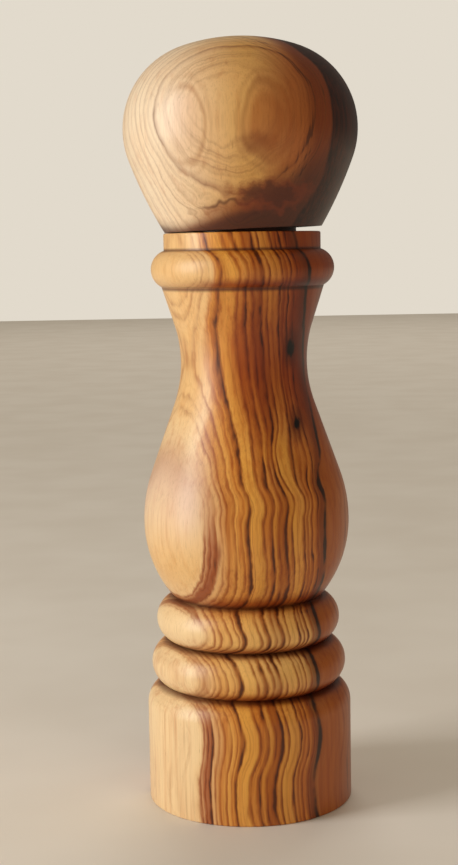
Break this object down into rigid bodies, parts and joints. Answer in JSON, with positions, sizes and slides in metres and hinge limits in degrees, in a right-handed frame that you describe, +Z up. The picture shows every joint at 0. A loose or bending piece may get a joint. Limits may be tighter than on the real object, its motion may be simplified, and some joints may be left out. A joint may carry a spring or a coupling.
{
  "type": "pepper mill",
  "caption": "Turned olive-wood pepper mill: ball head on a bulbous body, hexagonal shaft, conical ceramic burrs and a grind adjuster under the base.",
  "frame": {"origin": "centre of the base, on the plane that the mill stands on", "axes": "+Z up along the turning axis; -Y is the side seen from the front, +X to its right, where the joint under the head opens"},
  "size_m": [0.0614, 0.0614, 0.2026],
  "materials": {
    "olive_wood_body": "oiled, satin",
    "olive_wood_head": "oiled, satin",
    "moulded_nylon": "fine moulded grain",
    "bearing_acetal": "smooth",
    "knob_plastic": "smooth moulded",
    "burr_ceramic": "fired, unglazed",
    "drawn_aluminium": "drawn bar, bright",
    "zinc_plated_steel": "zinc plated",
    "spring_steel": "oil-blackened spring steel"
  },
  "bodies": {
    "base": {"body": "olive_wood_body", "grinder_housing": "moulded_nylon", "bearing_bridge": "moulded_nylon", "housing_screws": "zinc_plated_steel", "stator_burr": "burr_ceramic", "stator_ring": "moulded_nylon"},
    "spindle": {"drive_shaft": "drawn_aluminium", "shaft_bush": "bearing_acetal", "bush_circlip": "spring_steel", "shaft_clip": "spring_steel", "spring_washer": "zinc_plated_steel", "end_clip": "spring_steel"},
    "burr": {"rotor_burr": "burr_ceramic", "rotor_carrier": "moulded_nylon", "knob_washer": "zinc_plated_steel", "burr_spring": "spring_steel"},
    "adjuster": {"adjuster_knob": "knob_plastic"},
    "head": {"head": "olive_wood_head", "head_driver": "moulded_nylon", "driver_screws": "zinc_plated_steel", "driver_snap_ring": "spring_steel"}
  },
  "joints": [
    {"name": "grind_turn", "type": "hinge", "parent": "base", "child": "spindle", "pos_m": [0, 0, 0.036], "axis": [0, 0, 1], "continuous": true},
    {"name": "head_lift", "type": "slide", "parent": "spindle", "child": "head", "axis": [0, 0, 1], "range_m": [0, 0.06]},
    {"name": "burr_travel", "type": "slide", "parent": "spindle", "child": "burr", "axis": [0, 0, 1], "range_m": [-0.0006, 0.0006], "deforming": ["burr_spring"]},
    {"name": "adjuster_turn", "type": "hinge", "parent": "burr", "child": "adjuster", "pos_m": [0, 0, 0.01], "axis": [0, 0, 1], "range_deg": [-270, 270]}
  ],
  "couplings": [
    {"joint": "adjuster_turn", "follows": "burr_travel", "rad_per_m": 7854}
  ]
}
